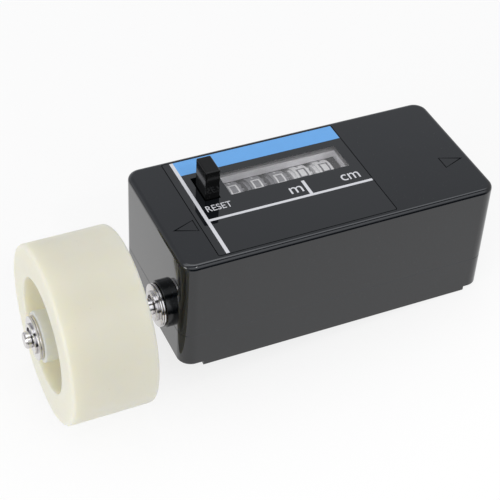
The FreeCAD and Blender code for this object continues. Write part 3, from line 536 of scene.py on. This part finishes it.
sheet_mesh = bmesh.new()
bmesh.ops.create_circle(sheet_mesh, cap_ends=True, segments=96, radius=SHEET_RADIUS,
                        matrix=Matrix.Translation(SHEET_MIDDLE))
sheet_data = bpy.data.meshes.new("floor")
sheet_mesh.to_mesh(sheet_data)
sheet_mesh.free()
sheet = bpy.data.objects.new("floor", sheet_data)
bpy.context.scene.collection.objects.link(sheet)
paper = Finish("white floor", Base_Color=colour(0.96, 0.96, 0.97), Roughness=0.9)
seen = paper.ray("Camera") | paper.ray("Glossy") | paper.ray("Transmission")
point = paper.node("ShaderNodeTexCoord", {}, {}, "Object")
reach = paper.node("ShaderNodeVectorMath", {"operation": "DISTANCE"}, {0: point, 1: SHEET_MIDDLE}, "Value")
shadow = SHADOW_SHARE * (1.0 - paper.ramp(reach, FADE_START, FADE_END))
glow = paper.node("ShaderNodeEmission", {}, {"Color": WHITE, "Strength": 1.0})
matt = Signal(paper, paper.shader.outputs[0])
mixed = paper.node("ShaderNodeMixShader", {}, {0: seen * (1.0 - shadow), 1: matt, 2: glow})
paper.tree.links.new(mixed.socket, paper.tree.nodes["Material Output"].inputs["Surface"])
paper.onto(sheet)


# Room: white to the eye. Gloss shows it as a studio, with panels by height from the floor in front, over
# the top and down behind, dark low in front beyond the sheet, and a plain wall at each side.
ROOM_LIGHT = 0.76
SIDE_WALL = 0.55
SIDE_START = 0.5
SIDE_FULL = 0.85
PANEL_TINT = (0.96, 0.99, 1.04)
PANELS = (
    (0.0, 0.02), (0.49, 0.02), (0.53, 0.8), (0.58, 1.45), (0.65, 1.2), (0.67, 0.06), (0.71, 0.06),
    (0.73, 2.3), (0.78, 2.0), (0.82, 0.60), (0.88, 0.54), (0.96, 0.9), (1.0, 1.0))


class Room(Finish):
    """The world, which takes the same signals as a material."""

    def __init__(self, tree):
        self.tree = tree


world = bpy.data.worlds.new("white room")
world.use_nodes = True
bpy.context.scene.world = world
room = Room(world.node_tree)
direction = room.node("ShaderNodeTexCoord", {}, {}, "Generated")
split = room.node("ShaderNodeSeparateXYZ", {}, {0: direction}).socket.node
sideways, backward, upward = [Signal(room, split.outputs[axis]) for axis in "XYZ"]
forward = 0.0 - backward
turn = forward.math("ARCTAN2", upward, forward)
panel_place = room.node("ShaderNodeMapRange", {}, {
    "Value": turn, "From Min": -math.pi, "From Max": math.pi})
panels = room.node("ShaderNodeValToRGB", {}, {"Fac": panel_place})
stops = panels.socket.node.color_ramp.elements
while len(stops) < len(PANELS):
    stops.new(0.5)
for stop, (place, shade) in zip(stops, PANELS):
    stop.position = place
    stop.color = colour(*[shade * tint for tint in PANEL_TINT])
at_side = room.ramp(abs(sideways), SIDE_START, SIDE_FULL)
panels = room.blend(at_side, panels, dimmed((1, 1, 1), SIDE_WALL))
light = room.blend(room.ray("Glossy"), dimmed((1, 1, 1), ROOM_LIGHT), panels)
light = room.blend(room.ray("Camera") | room.ray("Transmission"), light, WHITE)
room.tree.links.new(light.socket, room.tree.nodes["Background"].inputs["Color"])


# Lamps: three soft discs that face the meter. The left one lights the wheel's rim, and the small front
# one leaves the bright spots on the case's edges.
LAMP_AIM = Vector((0, 0, 0.03))


def soft_lamp(name, place, size, power):
    lamp = bpy.data.lights.new(name, "AREA")
    lamp.shape = "DISK"
    lamp.size = size
    lamp.energy = power
    holder = bpy.data.objects.new(name, lamp)
    holder.location = place
    holder.rotation_euler = (LAMP_AIM - Vector(place)).to_track_quat("-Z", "Y").to_euler()
    bpy.context.scene.collection.objects.link(holder)


soft_lamp("overhead lamp", (0.15, 0.25, 0.9), size=0.5, power=0.5)
soft_lamp("left lamp", (-0.85, -0.28, 0.24), size=0.4, power=1.7)
soft_lamp("front lamp", (0.16, -0.68, 0.74), size=0.07, power=0.6)


# Camera: above the front left corner, a long lens from about half a metre.
CAMERA_PLACE = (-0.140774, -0.34747, 0.391821)
CAMERA_TURN_DEGREES = (46.4638, 2.3939, -24.1658)

camera_data = bpy.data.cameras.new("camera")
camera_data.sensor_width = 36
camera_data.lens = 105
camera_data.clip_start = 0.01
camera = bpy.data.objects.new("camera", camera_data)
camera.location = CAMERA_PLACE
camera.rotation_euler = Euler([math.radians(degrees) for degrees in CAMERA_TURN_DEGREES], "XYZ")
bpy.context.scene.collection.objects.link(camera)
bpy.context.scene.camera = camera
bpy.context.scene.view_settings.view_transform = "Standard"
